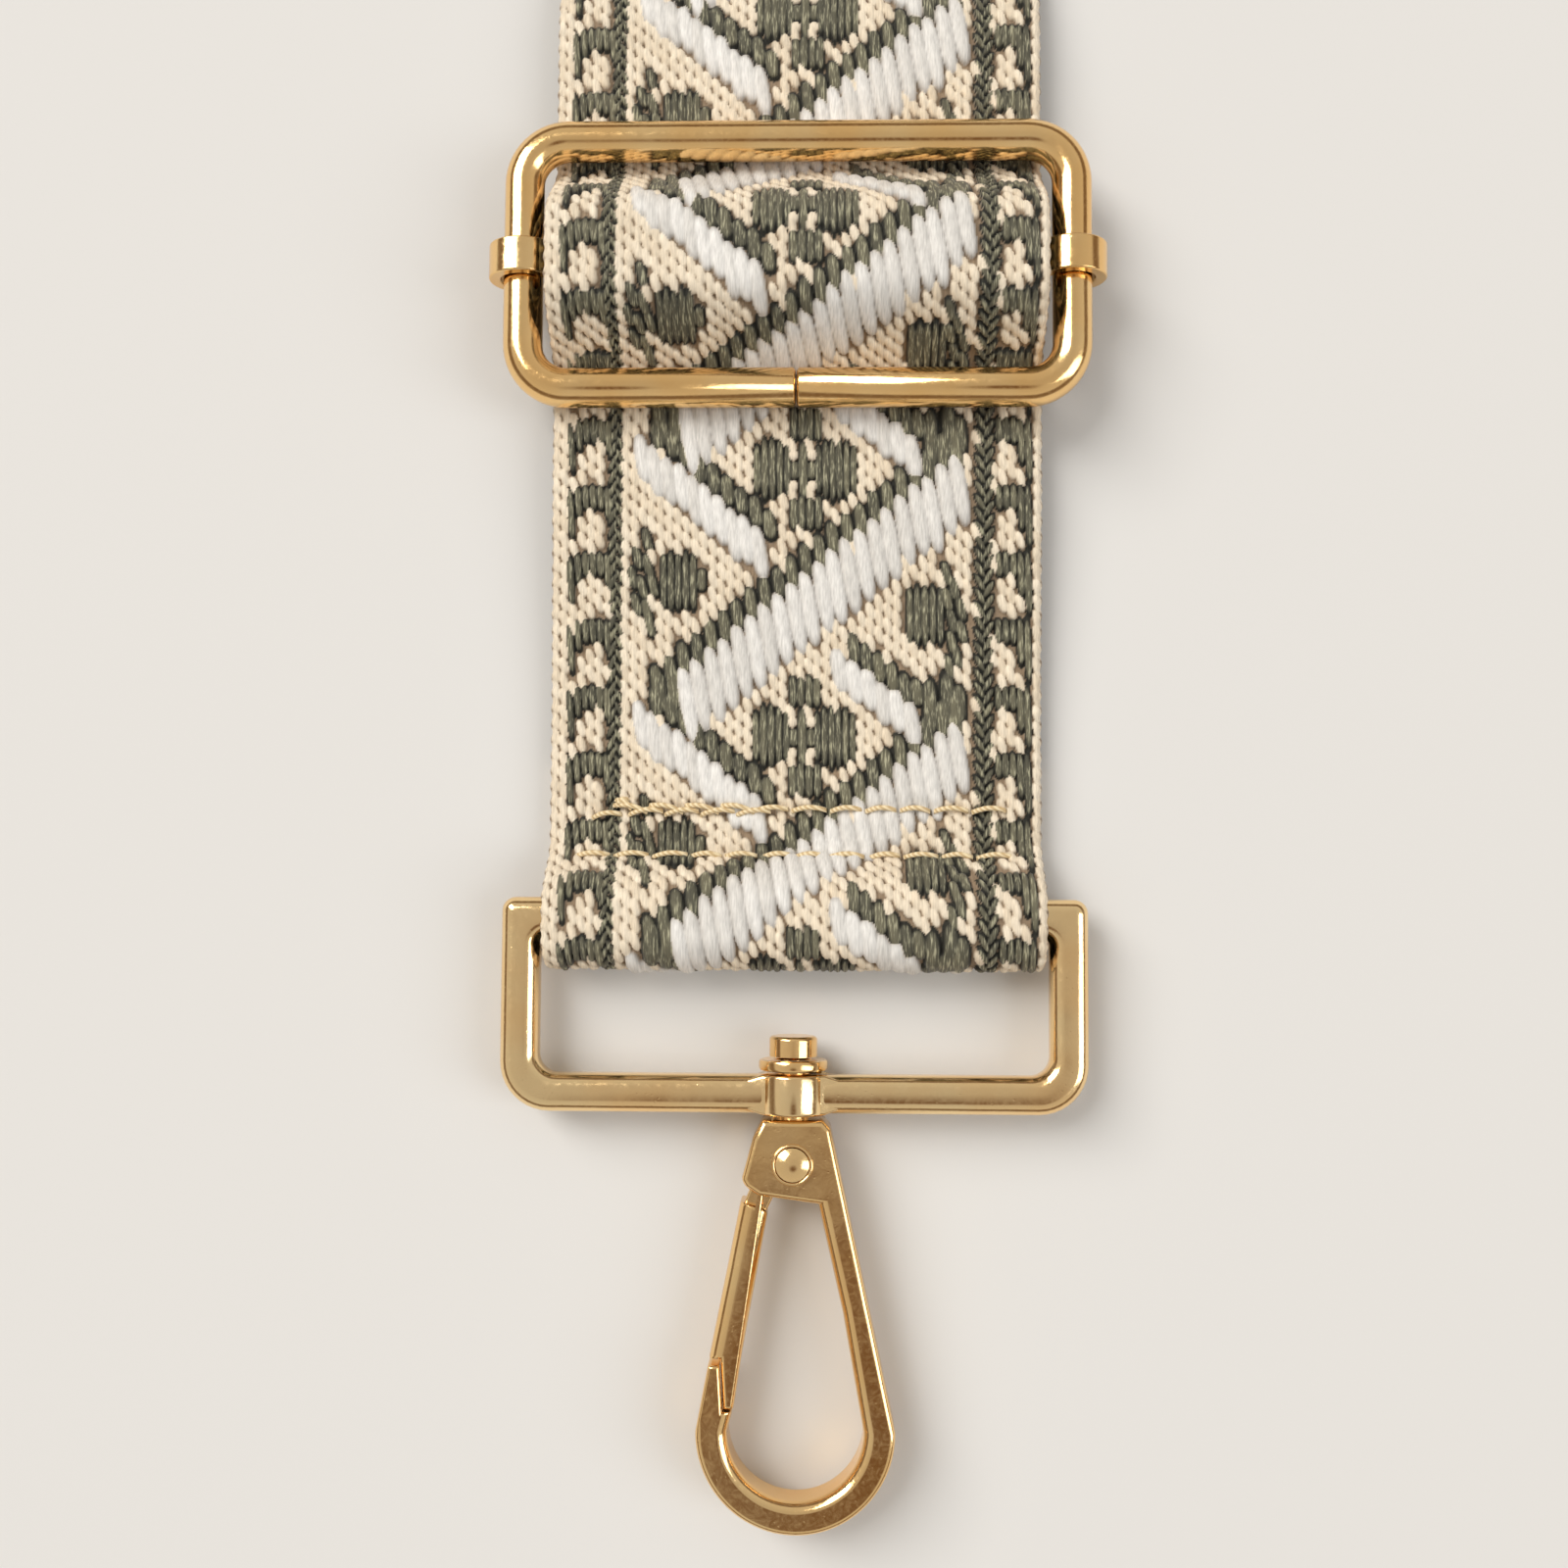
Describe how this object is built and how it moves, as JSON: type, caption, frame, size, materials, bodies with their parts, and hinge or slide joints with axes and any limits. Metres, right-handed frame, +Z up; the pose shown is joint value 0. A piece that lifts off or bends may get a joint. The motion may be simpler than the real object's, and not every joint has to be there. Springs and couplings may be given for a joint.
{
  "type": "bag strap",
  "caption": "Wide woven shoulder strap with a sliding wire-frame adjuster and a swivel snap hook on a rectangular ring at each end.",
  "frame": {"origin": "middle of the strap, on the surface that it lies on", "axes": "+X across the webbing, +Y along it towards the upper clasp, +Z up, away from the surface"},
  "size_m": [0.0624, 0.7394, 0.0116],
  "materials": {
    "webbing": "woven jacquard webbing, cream with charcoal olive and white satin figures",
    "gold_hardware": "polished light gold plating",
    "gate_spring": "bright spring wire"
  },
  "bodies": {
    "strap": {"webbing_lower_fold": "webbing", "webbing_lower_run": "webbing"},
    "slider": {"slider_frame": "gold_hardware", "slider_bar": "gold_hardware", "webbing_slider_arch": "webbing", "webbing_bar_loop": "webbing", "webbing_upper_run": "webbing", "webbing_back_run": "webbing"},
    "upper_end": {"webbing_upper_loop": "webbing"},
    "lower_ring": {"lower_ring": "gold_hardware"},
    "lower_hook": {"lower_hook_body": "gold_hardware", "lower_swivel_washer": "gold_hardware", "lower_swivel_cap": "gold_hardware", "lower_gate_rivet": "gold_hardware", "lower_gate_spring": "gate_spring"},
    "lower_gate": {"lower_gate": "gold_hardware"},
    "upper_ring": {"upper_ring": "gold_hardware"},
    "upper_hook": {"upper_hook_body": "gold_hardware", "upper_swivel_washer": "gold_hardware", "upper_swivel_cap": "gold_hardware", "upper_gate_rivet": "gold_hardware", "upper_gate_spring": "gate_spring"},
    "upper_gate": {"upper_gate": "gold_hardware"}
  },
  "joints": [
    {"name": "slider_slide", "type": "slide", "parent": "strap", "child": "slider", "axis": [0, 1, 0], "range_m": [-0.0272, 0.9792], "deforming": ["webbing_lower_run"]},
    {"name": "upper_end_slide", "type": "slide", "parent": "slider", "child": "upper_end", "axis": [0, 1, 0], "range_m": [-0.4896, 0.0136], "deforming": ["webbing_upper_run", "webbing_back_run"]},
    {"name": "lower_ring_pivot", "type": "hinge", "parent": "strap", "child": "lower_ring", "pos_m": [0, -0.31, 0.0038], "axis": [-1, 0, 0], "range_deg": [-145, 145]},
    {"name": "lower_swivel", "type": "hinge", "parent": "lower_ring", "child": "lower_hook", "pos_m": [0, -0.3275, 0.0038], "axis": [0, -1, 0], "continuous": true},
    {"name": "lower_gate_hinge", "type": "hinge", "parent": "lower_hook", "child": "lower_gate", "pos_m": [0, -0.3342, 0.0038], "axis": [0, 0, 1], "range_deg": [0, 24], "stiffness_Nm_per_rad": 0.02, "springref_deg": -28.65, "deforming": ["lower_gate_spring"]},
    {"name": "upper_ring_pivot", "type": "hinge", "parent": "upper_end", "child": "upper_ring", "pos_m": [0, 0.31, 0.0038], "axis": [1, 0, 0], "range_deg": [-145, 145]},
    {"name": "upper_swivel", "type": "hinge", "parent": "upper_ring", "child": "upper_hook", "pos_m": [0, 0.3275, 0.0038], "axis": [0, 1, 0], "continuous": true},
    {"name": "upper_gate_hinge", "type": "hinge", "parent": "upper_hook", "child": "upper_gate", "pos_m": [0, 0.3342, 0.0038], "axis": [0, 0, 1], "range_deg": [0, 24], "stiffness_Nm_per_rad": 0.02, "springref_deg": -28.65, "deforming": ["upper_gate_spring"]}
  ],
  "couplings": [
    {"joint": "upper_end_slide", "follows": "slider_slide", "ratio": -0.5}
  ]
}
